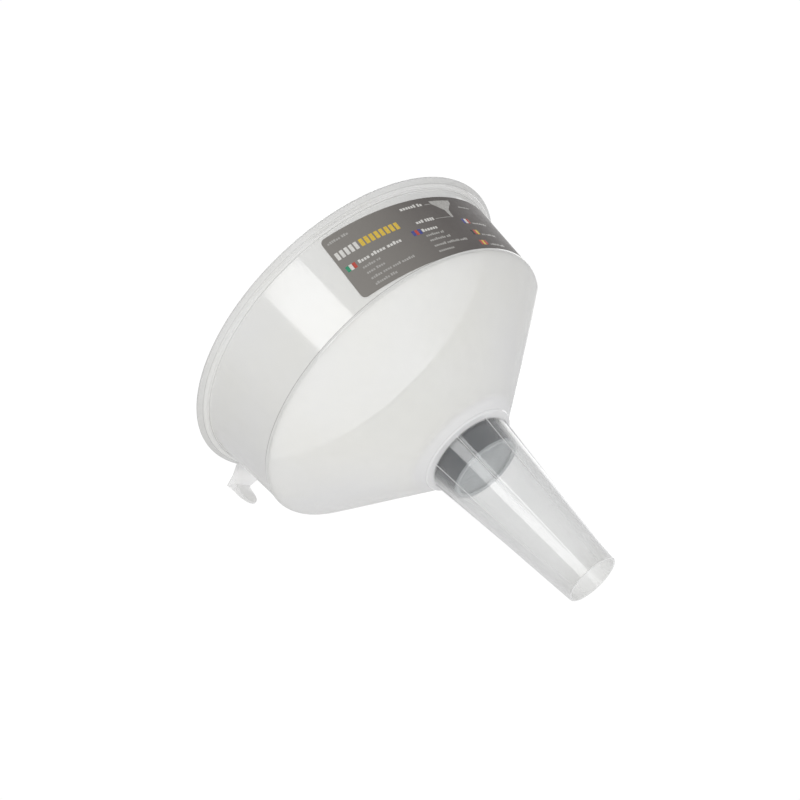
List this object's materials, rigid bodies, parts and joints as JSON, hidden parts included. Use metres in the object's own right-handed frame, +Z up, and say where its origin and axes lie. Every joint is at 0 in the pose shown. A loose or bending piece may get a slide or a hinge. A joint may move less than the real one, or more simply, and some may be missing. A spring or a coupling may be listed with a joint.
{
  "type": "transfer funnel with strainer",
  "caption": "Wide translucent funnel with a deep round bowl, stepped rim, hanging hook, long tapered spout and a lift-out strainer in the throat.",
  "frame": {"origin": "on the funnel's axis, in the plane of the spout's tip", "axes": "+Z up along the funnel's axis from the spout's tip to the mouth, -X through the hanging hook, +Y to the back"},
  "size_m": [0.1967, 0.185, 0.1835],
  "materials": {
    "clear_plastic": "milky translucent polypropylene, glossy",
    "grey_plastic": "satin moulded grey plastic",
    "gauze": "fine woven wire",
    "label_film": "glossy dark printed film"
  },
  "bodies": {
    "funnel": {"funnel_body": "clear_plastic", "label": "label_film"},
    "strainer": {"strainer_cup": "grey_plastic", "strainer_gauze": "gauze"}
  },
  "joints": [
    {"name": "strainer_lift", "type": "slide", "parent": "funnel", "child": "strainer", "axis": [0, 0, 1], "range_m": [0, 0.112]}
  ]
}
